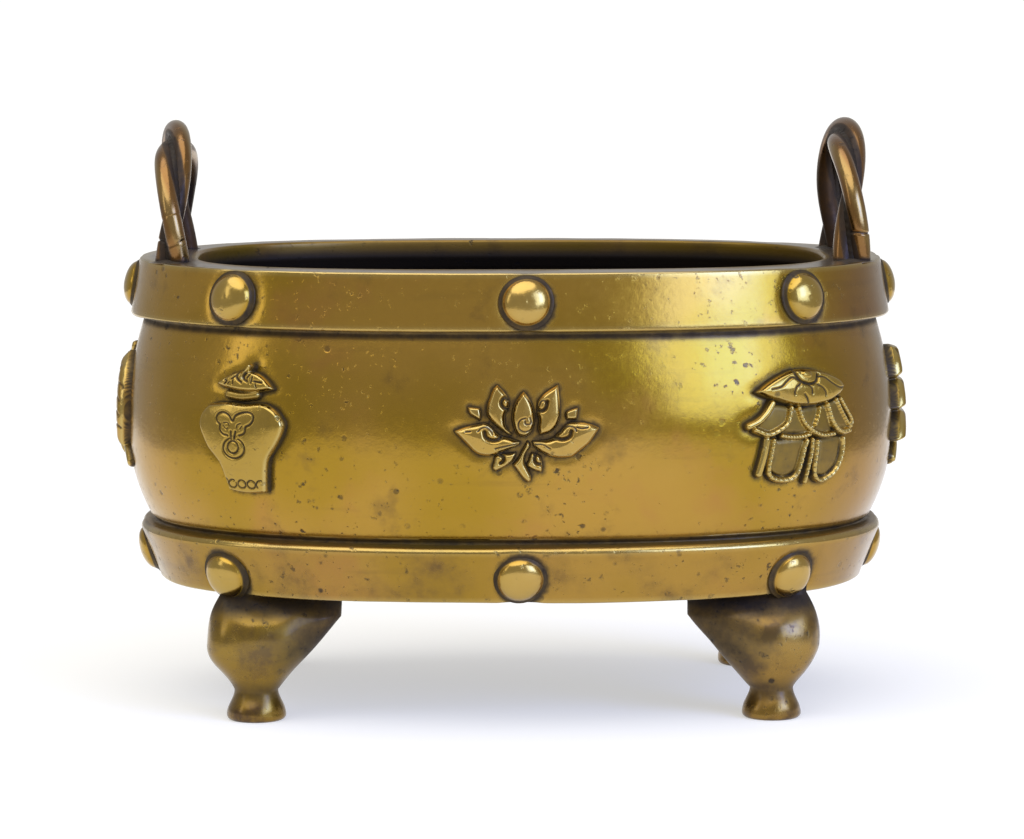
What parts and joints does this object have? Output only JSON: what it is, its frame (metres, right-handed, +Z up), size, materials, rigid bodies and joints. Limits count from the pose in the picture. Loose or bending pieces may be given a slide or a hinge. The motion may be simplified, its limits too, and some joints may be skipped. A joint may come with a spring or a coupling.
{
  "type": "rectangular censer",
  "caption": "Footed bronze incense vessel with bowed sides, studded bands, a swelling belly with emblems in low relief, and rope handles on its rim.",
  "frame": {"origin": "on the ground, midway between the four feet", "axes": "+X along the censer's length towards its right end, +Y from the front to the back, +Z up"},
  "size_m": [0.2218, 0.1514, 0.1622],
  "materials": {
    "bronze": "patinated cast bronze, olive gold with dark recesses"
  },
  "bodies": {
    "root": {"censer": "bronze"}
  },
  "joints": []
}
